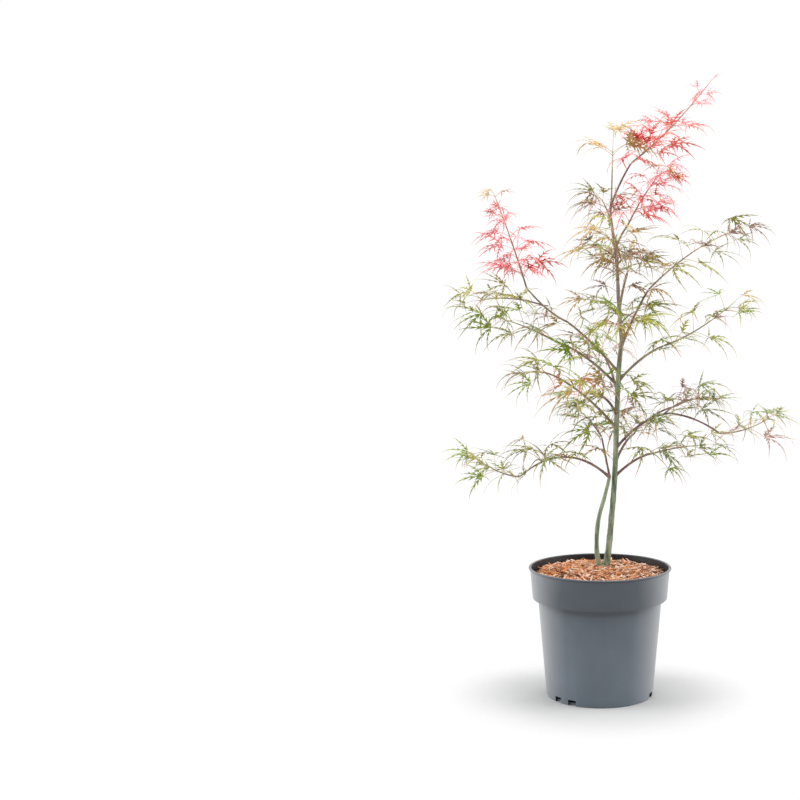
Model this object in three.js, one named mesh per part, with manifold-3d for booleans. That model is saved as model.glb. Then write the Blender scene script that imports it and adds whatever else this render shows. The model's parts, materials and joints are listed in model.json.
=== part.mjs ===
// A young japanese maple in a round nursery pot. Two green stems rise from the bark mulch, and thin
// arching boughs carry open masses of finely cut leaves on long stalks.
// Millimetres and degrees, +Z up. The origin is the centre of the pot's flat underside.
// A heading is the compass direction that a limb grows in: 0 is +X (right), 90 is +Y (back).

import * as THREE from 'three';
import { mergeVertices } from 'three/addons/utils/BufferGeometryUtils.js';
import Module from 'manifold-3d';

const wasm = await Module();
wasm.setup();

const GAP = 0.3; // left between two solids that meet
const LEAF_CLEAR = 0.5; // a leaf that comes nearer than this to another node is left out
const LEAF_CROSSING = 0.6; // leaves of one mass may share this much at their roots, in cubic mm
const FIRST_SEED = 11; // of the first foliage mass; the next masses count on from it
const UP = new THREE.Vector3(0, 0, 1);

// ---------------------------------------------------------------- driving dimensions

const POT = {
  height: 171,
  rimRadius: 95,
  rimEdge: 2.5, // height of the rim's edge
  collarTop: 93, // the deep band under the rim, outside radius at its top and foot
  collarFoot: 89.6,
  collarBottom: 129.5, // height of the band's foot
  bodyTop: 82.6, // the tapering body, outside radius at its top and foot
  baseRadius: 71.2,
  wall: 1.6,
  floor: 3,
  edge: 1.5, // bevel round the base
  sides: 32,
};

const DRAIN = { wide: 12, high: 7.5, deep: 4.5, angles: [221, 240] }; // slots in pairs, every 120 degrees

const MULCH = { clear: 0.4, edgeHeight: 160.5, height: 169.5, flatRadius: 24, lump: 1.5, seed: 71 };

const CROWN = { left: -220, right: 268, front: -190, back: 190, bottom: 203, top: 825 };

const STEM_SIDES = 8;
const BOUGH_SIDES = 5;
const TWIG_SIDES = 3;

// A leaf stalk's direction: outward by one, and this much along the stem and up.
const AIM = { ahead: 0.55, up: 0.25, steepest: 0.6 };

// Stems: points on the centre line, and the radius at each. The line starts under the mulch's top,
// where the flat cut is made.
const footHeight = MULCH.height + GAP;
const rootHeight = footHeight - 6;
const STEMS = {
  main_stem: {
    points: [
      [6.6, 11, rootHeight], [11, 10.5, 187], [15.5, 10, 236],
      [19.7, 9.5, 295], [23.9, 9, 421], [28.2, 9, 471],
    ],
    radii: [6.2, 4.3, 3.9, 3.7, 3.4, 3.1],
  },
  second_stem: {
    points: [[0.4, 3, rootHeight], [-4.2, 3, 193], [-2.4, 3.2, 231], [6.5, 3.6, 265], [13.2, 3.6, 293]],
    radii: [4.4, 3, 2.8, 2.5, 2.2],
  },
  leader: {
    points: [[28.2, 9, 471 + GAP], [24, 8, 523], [21.4, 7, 573], [13.5, 5, 633], [14, 4, 653]],
    radii: [2.9, 2.5, 2.2, 1.8, 1.7],
  },
};

// Boughs: what each springs from and where (a height on a stem, or a share of a bough's length, or
// else its tip), how far it reaches and rises, and how far its middle bows up from a straight line.
const BOUGH_RADII = [1.9, 1.5];
const OUTER_BOUGH_RADII = [1.45, 1.25]; // on another bough
const SLIM_BOUGH_RADII = [1.6, 1.35]; // on the thin tops of the stems
const SLIM_BOUGHS = ['bough_inner_left', 'bough_top', 'bough_top_right'];
const BOUGHS = {
  bough_low_left: { from: 'second_stem', height: 290, heading: 192, reach: 60, rise: 28, bow: 7 },
  bough_low_left_outer: { from: 'bough_low_left', heading: 190, reach: 60, rise: -25, bow: 7 },
  bough_low_right: { from: 'main_stem', height: 290, heading: 20, reach: 58, rise: 30, bow: 6 },
  bough_inner_left: { from: 'second_stem', height: 291, heading: 140, reach: 14, rise: 52, bow: 0 },
  bough_mid_left: { from: 'main_stem', height: 355, heading: 205, reach: 83, rise: 68, bow: 6 },
  bough_left_lower: { from: 'main_stem', height: 411, heading: 168, reach: 88, rise: 60, bow: 8 },
  bough_left_upper: { from: 'main_stem', height: 429, heading: 196, reach: 70, rise: 67, bow: 4 },
  bough_left_upper_outer: { from: 'bough_left_upper', heading: 192, reach: 54, rise: 44, bow: -5 },
  bough_right_middle: { from: 'main_stem', height: 417, heading: 350, reach: 61, rise: 48, bow: 6 },
  bough_right_upper: { from: 'main_stem', height: 461, heading: 14, reach: 38, rise: 78, bow: 5 },
  bough_right_lower: { from: 'main_stem', height: 328, heading: 340, reach: 74, rise: 49, bow: 10 },
  bough_right_lower_outer: { from: 'bough_right_lower', heading: 342, reach: 67, rise: -24, bow: 5 },
  bough_right_inner: { from: 'bough_right_lower', at: 0.55, heading: 12, reach: 42, rise: 20, bow: 3 },
  bough_top: { from: 'leader', height: 649, heading: 8, reach: 27, rise: 55, bow: 4 },
  bough_top_right: { from: 'leader', height: 591, heading: 330, reach: 18, rise: 30, bow: 3 },
  bough_back_low: { from: 'main_stem', height: 309, heading: 62, reach: 56, rise: 34, bow: 6 },
  bough_back_middle: { from: 'main_stem', height: 399, heading: 104, reach: 62, rise: 44, bow: 6 },
  bough_back_upper: { from: 'leader', height: 511, heading: 78, reach: 54, rise: 48, bow: 5 },
  bough_front_low: { from: 'main_stem', height: 373, heading: 243, reach: 62, rise: 28, bow: 8 },
  bough_front_middle: { from: 'main_stem', height: 443, heading: 276, reach: 56, rise: 40, bow: 6 },
  bough_front_upper: { from: 'leader', height: 551, heading: 268, reach: 48, rise: 42, bow: 4 },
};

// Foliage masses: the stem's line as for a bough, then the bare share of it, the pairs of leaves on
// the rest and how they crowd towards its foot, how many pairs are side twigs instead, the longest
// lobe, how steeply the leaves fall, and how much smaller the last one is.
const MASS = { // unless stated
  bow: 4, bare: 0.16, crowd: 1, taper: 0.25, pairs: 3, forks: 0, lobe: 44, fall: 30,
};
const MASSES = {
  foliage_low_left: {
    from: 'bough_low_left_outer', heading: 190, reach: 56, rise: 25, bow: -5, fall: 20,
  },
  foliage_low_left_crest: {
    from: 'bough_low_left_outer', at: 0.4, heading: 150, reach: 24, rise: 20, bow: 3, pairs: 1,
  },
  foliage_low_left_hanging: {
    from: 'bough_low_left_outer', at: 0.5, heading: 232, reach: 22, rise: -3, bow: 5, pairs: 1,
    lobe: 38,
  },
  foliage_low_right: {
    from: 'bough_low_right', heading: 12, reach: 66, rise: 9, bow: 2, pairs: 4, lobe: 48, fall: 20,
  },
  foliage_low_right_hanging: {
    from: 'bough_low_right', at: 0.72, heading: 318, reach: 30, rise: -4, bow: 6, pairs: 1,
    fall: 42,
  },
  foliage_inner_left: { from: 'bough_inner_left', heading: 168, reach: 30, rise: 34, bow: 3, lobe: 42 },
  foliage_mid_left: { from: 'bough_mid_left', heading: 200, reach: 36, rise: 8, bow: 3, lobe: 46 },
  foliage_mid_left_rust: {
    from: 'bough_mid_left', at: 0.74, heading: 232, reach: 15, rise: 15, bow: 3, pairs: 1, lobe: 38,
    fall: 36,
  },
  foliage_left_lower: {
    from: 'bough_left_lower', heading: 176, reach: 78, rise: 31, bow: 3, pairs: 4, lobe: 46,
    fall: 24,
  },
  foliage_left_lower_hanging: {
    from: 'bough_left_lower', at: 0.45, heading: 215, reach: 9, rise: 9, bow: 2, pairs: 1, lobe: 52,
    fall: 10,
  },
  foliage_left_upper: {
    from: 'bough_left_upper_outer', at: 0.6, heading: 178, reach: 86, rise: 6, bow: 6, pairs: 4,
    fall: 24,
  },
  foliage_left_upper_inner: {
    from: 'bough_left_upper', at: 0.8, heading: 140, reach: 38, rise: 16, bow: 3, pairs: 2,
    lobe: 42, fall: 32,
  },
  foliage_coral_left: {
    from: 'bough_left_upper_outer', heading: 190, reach: 42, rise: 120, bare: 0.1, crowd: 1.5,
    pairs: 12, lobe: 40, fall: 14, taper: 0.6,
  },
  foliage_right_middle: {
    from: 'bough_right_middle', heading: 352, reach: 90, rise: 56, bow: -6, pairs: 4, lobe: 46,
    fall: 26,
  },
  foliage_right_upper: {
    from: 'bough_right_upper', heading: 6, reach: 116, rise: 78, bow: 10, pairs: 6, lobe: 46,
    fall: 26,
  },
  foliage_right_lower: {
    from: 'bough_right_lower_outer', heading: 345, reach: 62, rise: 20, bow: -5, fall: 16,
  },
  foliage_right_lower_crest: {
    from: 'bough_right_lower', at: 0.9, heading: 24, reach: 36, rise: 18, bow: 3,
  },
  foliage_right_inner: {
    from: 'bough_right_inner', heading: 10, reach: 40, rise: 10, bow: 3, fall: 28,
  },
  foliage_coral_top: {
    from: 'bough_top', heading: 2, reach: 104, rise: 107, bow: -7, bare: 0.14, crowd: 2, pairs: 8,
    fall: -24, taper: 0.68,
  },
  foliage_coral_top_right: {
    from: 'bough_top_right', heading: 336, reach: 48, rise: 68, bow: 5, bare: 0.06, pairs: 8,
    lobe: 38, fall: 20,
  },
  foliage_tip: {
    from: 'leader', heading: 30, reach: 2, rise: 68, bow: 0, bare: 0.88, pairs: 2, lobe: 46,
    fall: -4, taper: 0.1,
  },
  foliage_leader_left_upper: {
    from: 'leader', height: 622, heading: 190, reach: 14, rise: 34, fall: 10,
  },
  foliage_leader_left: {
    from: 'leader', height: 577, heading: 158, reach: 26, rise: 16, lobe: 46, fall: 24,
  },
  foliage_leader_left_lower: {
    from: 'leader', height: 503, heading: 184, reach: 30, rise: 20, lobe: 46, fall: 28,
  },
  foliage_leader_right: { from: 'leader', height: 571, heading: 22, reach: 28, rise: 16, lobe: 42 },
  foliage_leader_right_lower: {
    from: 'leader', height: 493, heading: 330, reach: 30, rise: 18, lobe: 38, fall: 32,
  },
  foliage_back_low: { from: 'bough_back_low', heading: 72, reach: 56, rise: 12, lobe: 46, fall: 28 },
  foliage_back_middle: {
    from: 'bough_back_middle', heading: 98, reach: 58, rise: 14, pairs: 4, lobe: 46, fall: 28,
  },
  foliage_back_upper: { from: 'bough_back_upper', heading: 84, reach: 48, rise: 24, fall: 26 },
  foliage_front_low: { from: 'bough_front_low', heading: 250, reach: 60, rise: 4 },
  foliage_front_middle: { from: 'bough_front_middle', heading: 262, reach: 50, rise: 10, fall: 28 },
  foliage_front_upper: { from: 'bough_front_upper', heading: 262, reach: 52, rise: 18, fall: 26 },
};

const TWIG = { radii: [1.6, 1.2], forkReach: 36, forkRise: [6, 16], forkRadii: [1.3, 1.1] };

// A leaf: five lobes that spread from the stalk's end, with deep valleys between them.
const LEAF = {
  spread: [-80, -40, 0, 40, 80], // bearing of each lobe from the leaf's own axis
  length: [0.62, 0.88, 1, 0.88, 0.62], // share of the longest lobe
  valley: 0.2,
  heel: 0.7, // the blade's corners beside the stalk, in mm
  halfThick: 1,
  stalkRadius: 0.5,
  sag: 0.2, // how far a lobe's tip hangs under the leaf's plane
  stalk: 0.56, // length of the stalk, as a share of the longest lobe
};

const COLOURS = {
  pot: 0x5a646c, mulch: 0xb0683a, stem: 0x7b8f78, bough: 0x7c6a58,
  green: 0x7d8a3a, coral: 0xd9705a, rust: 0xa5542c,
};

// ---------------------------------------------------------------- solids and meshes

function toSolid(geometry) {
  geometry.deleteAttribute('normal');
  geometry.deleteAttribute('uv');
  const merged = mergeVertices(geometry, 1e-4);
  return new wasm.Manifold(new wasm.Mesh({
    numProp: 3,
    vertProperties: Float32Array.from(merged.getAttribute('position').array),
    triVerts: Uint32Array.from(merged.getIndex().array),
  }));
}

function toGeometry(solid) {
  const { vertProperties, triVerts } = solid.getMesh();
  const geometry = new THREE.BufferGeometry();
  geometry.setAttribute('position', new THREE.BufferAttribute(vertProperties, 3));
  geometry.setIndex(new THREE.BufferAttribute(triVerts, 1));
  geometry.computeVertexNormals();
  return geometry;
}

function largestPart(solid) {
  return solid.decompose().reduce((most, part) => (part.volume() > most.volume() ? part : most));
}

const plant = new THREE.Group();

function addNode(name, solid, colour, roughness) {
  const material = new THREE.MeshStandardMaterial({ color: colour, roughness, metalness: 0 });
  const mesh = new THREE.Mesh(toGeometry(solid), material);
  mesh.name = name;
  plant.add(mesh);
}

// Numbers from 0 to 1 that are the same on each run.
function seededDraws(seed) {
  let state = seed;
  return () => {
    state = (state * 16807) % 2147483647;
    return state / 2147483647;
  };
}

// ---------------------------------------------------------------- pot and mulch

function lathed(profile) {
  const points = profile.map(([radius, height]) => new THREE.Vector2(radius, height));
  return toSolid(new THREE.LatheGeometry(points, POT.sides).rotateX(Math.PI / 2));
}

function makePot() {
  const { wall, edge } = POT;
  const rimBottom = POT.height - POT.rimEdge;
  let pot = lathed([
    [0, 0], [POT.baseRadius - edge, 0], [POT.baseRadius, edge],
    [POT.bodyTop, POT.collarBottom], [POT.collarFoot, POT.collarBottom],
    [POT.collarTop, rimBottom], [POT.rimRadius, rimBottom], [POT.rimRadius, POT.height],
    [POT.collarTop - wall, POT.height], [POT.collarFoot - wall, POT.collarBottom + wall],
    [POT.bodyTop - wall, POT.collarBottom + wall / 2], [POT.baseRadius - wall, POT.floor],
    [0, POT.floor],
  ]);
  for (const turn of [0, 120, 240]) {
    for (const angle of DRAIN.angles) {
      const slot = new THREE.BoxGeometry(2 * DRAIN.deep, DRAIN.wide, 2 * DRAIN.high);
      slot.translate(POT.baseRadius, 0, 0).rotateZ(THREE.MathUtils.degToRad(angle + turn));
      pot = pot.subtract(toSolid(slot));
    }
  }
  return pot;
}

function makeMulch() {
  const inset = POT.wall + MULCH.clear;
  const bodyTop = POT.bodyTop - inset;
  const ledge = POT.collarBottom + POT.wall; // where the pot steps out inside
  const { height, flatRadius, edgeHeight } = MULCH;
  const bandShare = (edgeHeight - ledge) / (POT.height - ledge);
  const edgeRadius = THREE.MathUtils.lerp(POT.collarFoot, POT.collarTop, bandShare) - inset;
  const points = [
    [0, POT.floor + MULCH.clear], [POT.baseRadius - inset, POT.floor + MULCH.clear],
    [bodyTop, ledge + MULCH.clear], [POT.collarFoot - inset, ledge + 1], [edgeRadius, edgeHeight],
    [70, height - 4], [46, height - 1.5], [flatRadius, height], [0, height],
  ].map(([radius, z]) => new THREE.Vector2(radius, z));
  const heap = new THREE.LatheGeometry(points, POT.sides);
  heap.rotateX(Math.PI / 2);
  heap.deleteAttribute('normal');
  heap.deleteAttribute('uv');
  const merged = mergeVertices(heap, 1e-4);
  const place = merged.getAttribute('position');
  const draw = seededDraws(MULCH.seed);
  for (let index = 0; index < place.count; index += 1) {
    const radius = Math.hypot(place.getX(index), place.getY(index));
    const onTop = place.getZ(index) > edgeHeight + 1 && radius > flatRadius + 1;
    const lump = MULCH.lump * (2 * draw() - 1);
    if (onTop) place.setZ(index, place.getZ(index) + lump);
  }
  return toSolid(merged);
}

// ---------------------------------------------------------------- limbs

function stemLine({ points, radii }) {
  const places = points.map((point) => new THREE.Vector3(...point));
  const curve = new THREE.CatmullRomCurve3(places, false, 'catmullrom');
  const steps = 2 * (points.length - 1);
  return { curve, side: new THREE.Vector3(0, 1, 0), radii, sides: STEM_SIDES, steps };
}

// A limb lies in one upright plane and arches between its two ends.
function archLine(start, { heading, reach, rise, bow, radii }, sides, steps) {
  const turn = THREE.MathUtils.degToRad(heading);
  const ahead = new THREE.Vector3(Math.cos(turn), Math.sin(turn), 0);
  const end = start.clone().addScaledVector(ahead, reach).addScaledVector(UP, rise);
  const control = start.clone().lerp(end, 0.5).addScaledVector(UP, 2 * bow);
  const curve = new THREE.QuadraticBezierCurve3(start, control, end);
  return { curve, side: new THREE.Vector3(-Math.sin(turn), Math.cos(turn), 0), radii, sides, steps };
}

function radiusAlong(radii, share) {
  const place = share * (radii.length - 1);
  const index = Math.min(Math.floor(place), radii.length - 2);
  return THREE.MathUtils.lerp(radii[index], radii[index + 1], place - index);
}

// An upright cylinder bent along a line. A grown one is larger by the gap all round and at its ends.
function bentTube({ curve, side, radii, sides, steps }, grown = 0) {
  const tube = new THREE.CylinderGeometry(1, 1, 1, sides, steps);
  const place = tube.getAttribute('position');
  const around = new THREE.Vector3();
  for (let index = 0; index < place.count; index += 1) {
    const share = Math.round((place.getY(index) + 0.5) * steps) / steps;
    const ahead = curve.getTangent(share);
    const across = new THREE.Vector3().crossVectors(side, ahead).normalize();
    const out = radiusAlong(radii, share) + grown / Math.cos(Math.PI / sides);
    around.copy(side).multiplyScalar(place.getX(index) * out);
    around.addScaledVector(across, place.getZ(index) * out);
    const past = share === 0 ? -grown : share === 1 ? grown : 0;
    const point = curve.getPoint(share).add(around).addScaledVector(ahead, past);
    place.setXYZ(index, point.x, point.y, point.z);
  }
  return toSolid(tube);
}

function shareAtHeight(curve, height) {
  let low = 0;
  let high = 1;
  for (let round = 0; round < 30; round += 1) {
    const middle = (low + high) / 2;
    if (curve.getPoint(middle).z < height) low = middle;
    else high = middle;
  }
  return low;
}

const lines = {};
const ground = new THREE.BoxGeometry(2 * POT.rimRadius, 2 * POT.rimRadius, 40);
const cutters = [toSolid(ground.translate(0, 0, footHeight - 20))];

function startOf({ from, at, height }) {
  const { curve } = lines[from];
  return curve.getPoint(height === undefined ? at ?? 1 : shareAtHeight(curve, height));
}

function overlaps(first, second) {
  const a = first.boundingBox();
  const b = second.boundingBox();
  return [0, 1, 2].every((axis) => a.min[axis] < b.max[axis] && b.min[axis] < a.max[axis]);
}

// Cuts a limb off flat at its foot, and back by the gap from each limb made before it.
function makeLimb(name, line) {
  lines[name] = line;
  let solid = bentTube(line);
  for (const cutter of cutters) {
    if (overlaps(solid, cutter)) solid = solid.subtract(cutter);
  }
  cutters.push(bentTube(line, GAP));
  return largestPart(solid);
}

// ---------------------------------------------------------------- leaves

// A blade is two fans of faces, over and under a rim of lobe tips and valleys. Behind, between the
// two heels, the lower fan is open, and the stalk runs back from there as a three-sided tube.
function stalkedLeaf(root, aim, lobe, fall, twist) {
  const centre = root.clone().addScaledVector(aim, LEAF.stalk * lobe);
  const level = new THREE.Vector3(aim.x, aim.y, 0).normalize();
  const out = level.multiplyScalar(Math.cos(fall)).setZ(-Math.sin(fall));
  const left = new THREE.Vector3().crossVectors(UP, out).normalize().applyAxisAngle(out, twist);
  const top = new THREE.Vector3().crossVectors(out, left);
  const onBlade = (ahead, aside, above) => centre.clone()
    .addScaledVector(out, ahead).addScaledVector(left, aside).addScaledVector(top, above);

  const rim = [onBlade(-LEAF.heel, -LEAF.heel, 0)];
  LEAF.spread.forEach((bearing, index) => {
    const corners = [[bearing, LEAF.length[index]]];
    const next = LEAF.spread[index + 1];
    if (next !== undefined) corners.push([(bearing + next) / 2, LEAF.valley]);
    for (const [degrees, share] of corners) {
      const turn = THREE.MathUtils.degToRad(degrees);
      const reach = lobe * share;
      rim.push(onBlade(reach * Math.cos(turn), reach * Math.sin(turn), -LEAF.sag * reach * share));
    }
  });
  rim.push(onBlade(-LEAF.heel, LEAF.heel, 0));

  const stalkLeft = new THREE.Vector3().crossVectors(UP, aim).normalize();
  const stalkTop = new THREE.Vector3().crossVectors(aim, stalkLeft);
  const rootRing = [30, 270, 150].map((degrees) => {
    const turn = THREE.MathUtils.degToRad(degrees);
    return root.clone().addScaledVector(stalkLeft, LEAF.stalkRadius * Math.cos(turn))
      .addScaledVector(stalkTop, LEAF.stalkRadius * Math.sin(turn));
  });
  const points = [onBlade(0, 0, LEAF.halfThick), onBlade(0, 0, -LEAF.halfThick), ...rim, ...rootRing];
  const [over, under, firstRim, lastRim, firstRoot] = [0, 1, 2, rim.length + 1, rim.length + 2];
  const faces = [over, lastRim, firstRim];
  for (let corner = firstRim; corner < lastRim; corner += 1) {
    faces.push(over, corner, corner + 1, under, corner + 1, corner);
  }
  const bladeRing = [lastRim, under, firstRim];
  for (let side = 0; side < 3; side += 1) {
    const next = (side + 1) % 3;
    faces.push(bladeRing[side], bladeRing[next], firstRoot + next);
    faces.push(bladeRing[side], firstRoot + next, firstRoot + side);
  }
  faces.push(firstRoot, firstRoot + 1, firstRoot + 2);
  const geometry = new THREE.BufferGeometry().setFromPoints(points);
  geometry.setIndex(faces);
  return toSolid(geometry);
}

function levelled(aim) {
  return aim.clone().setZ(THREE.MathUtils.clamp(aim.z, -AIM.steepest, AIM.steepest)).normalize();
}

// Directions in which a pair of leaves or side twigs leaves a stem; pairs stand crosswise in turn.
function pairAims({ curve, side }, share, pair, jitter) {
  const ahead = curve.getTangent(share);
  const roll = THREE.MathUtils.degToRad(90 * (pair % 2) + 50 * (jitter - 0.5));
  const across = side.clone().applyAxisAngle(ahead, -roll);
  return [1, -1].map((hand) => {
    const aim = across.clone().multiplyScalar(hand);
    return levelled(aim.addScaledVector(ahead, AIM.ahead).addScaledVector(UP, AIM.up));
  });
}

// All twigs and leaves that the rule grows on one stem, in order from its foot.
function growSpray(line, { pairs, forks, lobe, fall, bare, crowd, taper }, draw) {
  const twigs = [];
  const leaves = [];
  const addLeaf = (root, aim, size) => {
    const length = lobe * size * (0.85 + 0.3 * draw());
    const drop = THREE.MathUtils.degToRad(fall + 24 * (draw() - 0.5));
    const twist = THREE.MathUtils.degToRad(50 * (draw() - 0.5));
    leaves.push(stalkedLeaf(root, aim, length, drop, twist));
  };
  for (let pair = 0; pair < pairs; pair += 1) {
    const place = (pair + 0.6 * draw()) / Math.max(pairs - 0.4, 1);
    const share = bare + (0.97 - bare) * place ** crowd;
    const root = line.curve.getPoint(share);
    const size = 1 - taper * share;
    for (const aim of pairAims(line, share, pair, draw())) {
      if (pair >= forks) {
        addLeaf(root, aim, size);
        continue;
      }
      const heading = THREE.MathUtils.radToDeg(Math.atan2(aim.y, aim.x));
      const rise = THREE.MathUtils.lerp(...TWIG.forkRise, draw());
      const shape = { heading, reach: TWIG.forkReach, rise, bow: 2, radii: TWIG.forkRadii };
      const fork = archLine(root, shape, TWIG_SIDES, 2);
      twigs.push(bentTube(fork));
      const tip = fork.curve.getPoint(0.97);
      for (const side of pairAims(fork, 0.97, 0, draw())) addLeaf(tip, side, size);
      addLeaf(tip, levelled(fork.curve.getTangent(1)), size * 0.9);
    }
  }
  addLeaf(line.curve.getPoint(0.98), levelled(line.curve.getTangent(1)), 1 - taper);
  return { twigs, leaves };
}

function insideCrown(solid) {
  const { min, max } = solid.boundingBox();
  return min[0] > CROWN.left && max[0] < CROWN.right && min[1] > CROWN.front && max[1] < CROWN.back
    && min[2] > CROWN.bottom && max[2] < CROWN.top;
}

// ---------------------------------------------------------------- the plant

addNode('pot', makePot(), COLOURS.pot, 0.5);
addNode('mulch', makeMulch(), COLOURS.mulch, 0.95);

const limbSolids = {};
for (const [name, stem] of Object.entries(STEMS)) {
  limbSolids[name] = makeLimb(name, stemLine(stem));
  addNode(name, limbSolids[name], COLOURS.stem, 0.6);
}
for (const [name, bough] of Object.entries(BOUGHS)) {
  const usual = bough.from in STEMS ? BOUGH_RADII : OUTER_BOUGH_RADII;
  const radii = SLIM_BOUGHS.includes(name) ? SLIM_BOUGH_RADII : usual;
  limbSolids[name] = makeLimb(name, archLine(startOf(bough), { ...bough, radii }, BOUGH_SIDES, 4));
  addNode(name, limbSolids[name], COLOURS.bough, 0.7);
}
for (const [name, mass] of Object.entries(MASSES)) {
  const line = archLine(startOf(mass), { ...MASS, ...mass, radii: TWIG.radii }, TWIG_SIDES, 3);
  limbSolids[name] = makeLimb(name, line);
}

const finished = { ...limbSolids };
Object.entries(MASSES).forEach(([name, mass], order) => {
  const others = Object.entries(finished).filter(([other]) => other !== name).map(([, solid]) => solid);
  const isFree = (piece) => insideCrown(piece)
    && others.every((other) => !overlaps(piece, other) || piece.minGap(other, 2 * LEAF_CLEAR) > LEAF_CLEAR);
  const { twigs, leaves } = growSpray(lines[name], { ...MASS, ...mass }, seededDraws(FIRST_SEED + order));
  const keptLeaves = [];
  for (const leaf of leaves.filter(isFree)) {
    const crosses = (other) => overlaps(leaf, other) && leaf.intersect(other).volume() > LEAF_CROSSING;
    if (!keptLeaves.some(crosses)) keptLeaves.push(leaf);
  }
  const kept = [limbSolids[name], ...twigs.filter(isFree), ...keptLeaves];
  finished[name] = largestPart(wasm.Manifold.union(kept));
  const tint = ['coral', 'rust'].find((word) => name.includes(word)) ?? 'green';
  addNode(name, finished[name], COLOURS[tint], 0.6);
});

export default plant;
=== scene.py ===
import json
import math

import bpy
import numpy as np
from mathutils import Matrix, Vector

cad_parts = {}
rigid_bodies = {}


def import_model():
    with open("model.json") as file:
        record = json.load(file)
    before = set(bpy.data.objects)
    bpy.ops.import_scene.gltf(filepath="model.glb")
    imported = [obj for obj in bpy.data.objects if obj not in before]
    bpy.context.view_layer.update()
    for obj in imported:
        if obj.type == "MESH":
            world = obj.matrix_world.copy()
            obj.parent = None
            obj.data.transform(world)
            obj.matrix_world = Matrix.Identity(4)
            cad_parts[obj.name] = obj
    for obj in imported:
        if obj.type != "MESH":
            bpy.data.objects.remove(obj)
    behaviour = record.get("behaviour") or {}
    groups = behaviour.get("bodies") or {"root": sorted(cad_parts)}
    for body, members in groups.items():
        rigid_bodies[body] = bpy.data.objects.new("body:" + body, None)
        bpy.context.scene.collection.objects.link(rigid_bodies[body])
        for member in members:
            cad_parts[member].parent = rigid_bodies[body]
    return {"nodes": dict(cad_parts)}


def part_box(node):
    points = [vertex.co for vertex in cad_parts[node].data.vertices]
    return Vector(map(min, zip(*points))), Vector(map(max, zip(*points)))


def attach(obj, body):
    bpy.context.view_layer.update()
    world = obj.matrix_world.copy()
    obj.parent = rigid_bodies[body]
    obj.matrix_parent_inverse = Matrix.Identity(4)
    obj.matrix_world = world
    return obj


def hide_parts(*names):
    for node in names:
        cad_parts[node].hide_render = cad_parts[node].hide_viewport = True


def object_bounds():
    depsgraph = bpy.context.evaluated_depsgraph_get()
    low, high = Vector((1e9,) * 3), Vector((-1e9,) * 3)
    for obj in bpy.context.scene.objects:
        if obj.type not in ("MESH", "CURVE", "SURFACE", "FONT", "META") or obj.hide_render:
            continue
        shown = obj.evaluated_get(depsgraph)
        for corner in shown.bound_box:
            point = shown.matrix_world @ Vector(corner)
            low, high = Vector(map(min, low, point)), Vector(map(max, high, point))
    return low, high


# A young japanese maple in its nursery pot. The growing rules below are in millimetres and degrees,
# with +Z up and headings counted from +X; meshes are scaled to metres as they are made.

mm = 0.001
up = Vector((0, 0, 1))
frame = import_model()
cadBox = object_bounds()
bpy.ops.object.select_all(action="DESELECT")
print("frame loaded,", len(frame["nodes"]), "nodes")


# camera, stage and light

camera = {
    "distance": 1.7,      # from the pot's axis
    "height": 0.508,
    "down": 3.87,         # degrees
    "turn": 1.79,         # degrees to the left, so that the plant stands right of the middle
    "shiftX": -0.2,
    "sensor": 36,
    "lens": 1289.5 * 36 / 800,
    "farthest": 60,
}


def makeCamera():
    turn = math.radians(camera["turn"])
    place = (0, -camera["distance"], camera["height"])
    bpy.ops.object.camera_add(location=place, rotation=(math.radians(90 - camera["down"]), 0, turn))
    eye = bpy.context.object
    eye.name = "gardenCamera"
    eye.data.sensor_width = camera["sensor"]
    eye.data.lens = camera["lens"]
    eye.data.shift_x = camera["shiftX"]
    eye.data.clip_end = camera["farthest"]
    bpy.context.scene.camera = eye


stageLook = {
    "floorRadius": 14,
    "floorGrey": 0.6,
    "plainFrom": 0.11,    # where the floor starts to turn into plain white light; with the grey floor inside, this fade paints a shadow that darkens towards the pot
    "plainTo": 0.24,
    "white": 1.03,        # what the empty room looks like, and how much it lights the plant
    "fill": 0.55,
    "aimHeight": 0.4,     # what the lamps look at, on the plant's axis
    "lamps": [
        # name, place, size, watts
        ("lampTop", (0.1, 0.15, 2.2), 1.6, 52),
        ("lampLeft", (-2.1, -0.3, 1.1), 1.4, 32),
        ("lampRight", (2.2, -0.2, 1.1), 1.4, 29),
    ],
}


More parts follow.
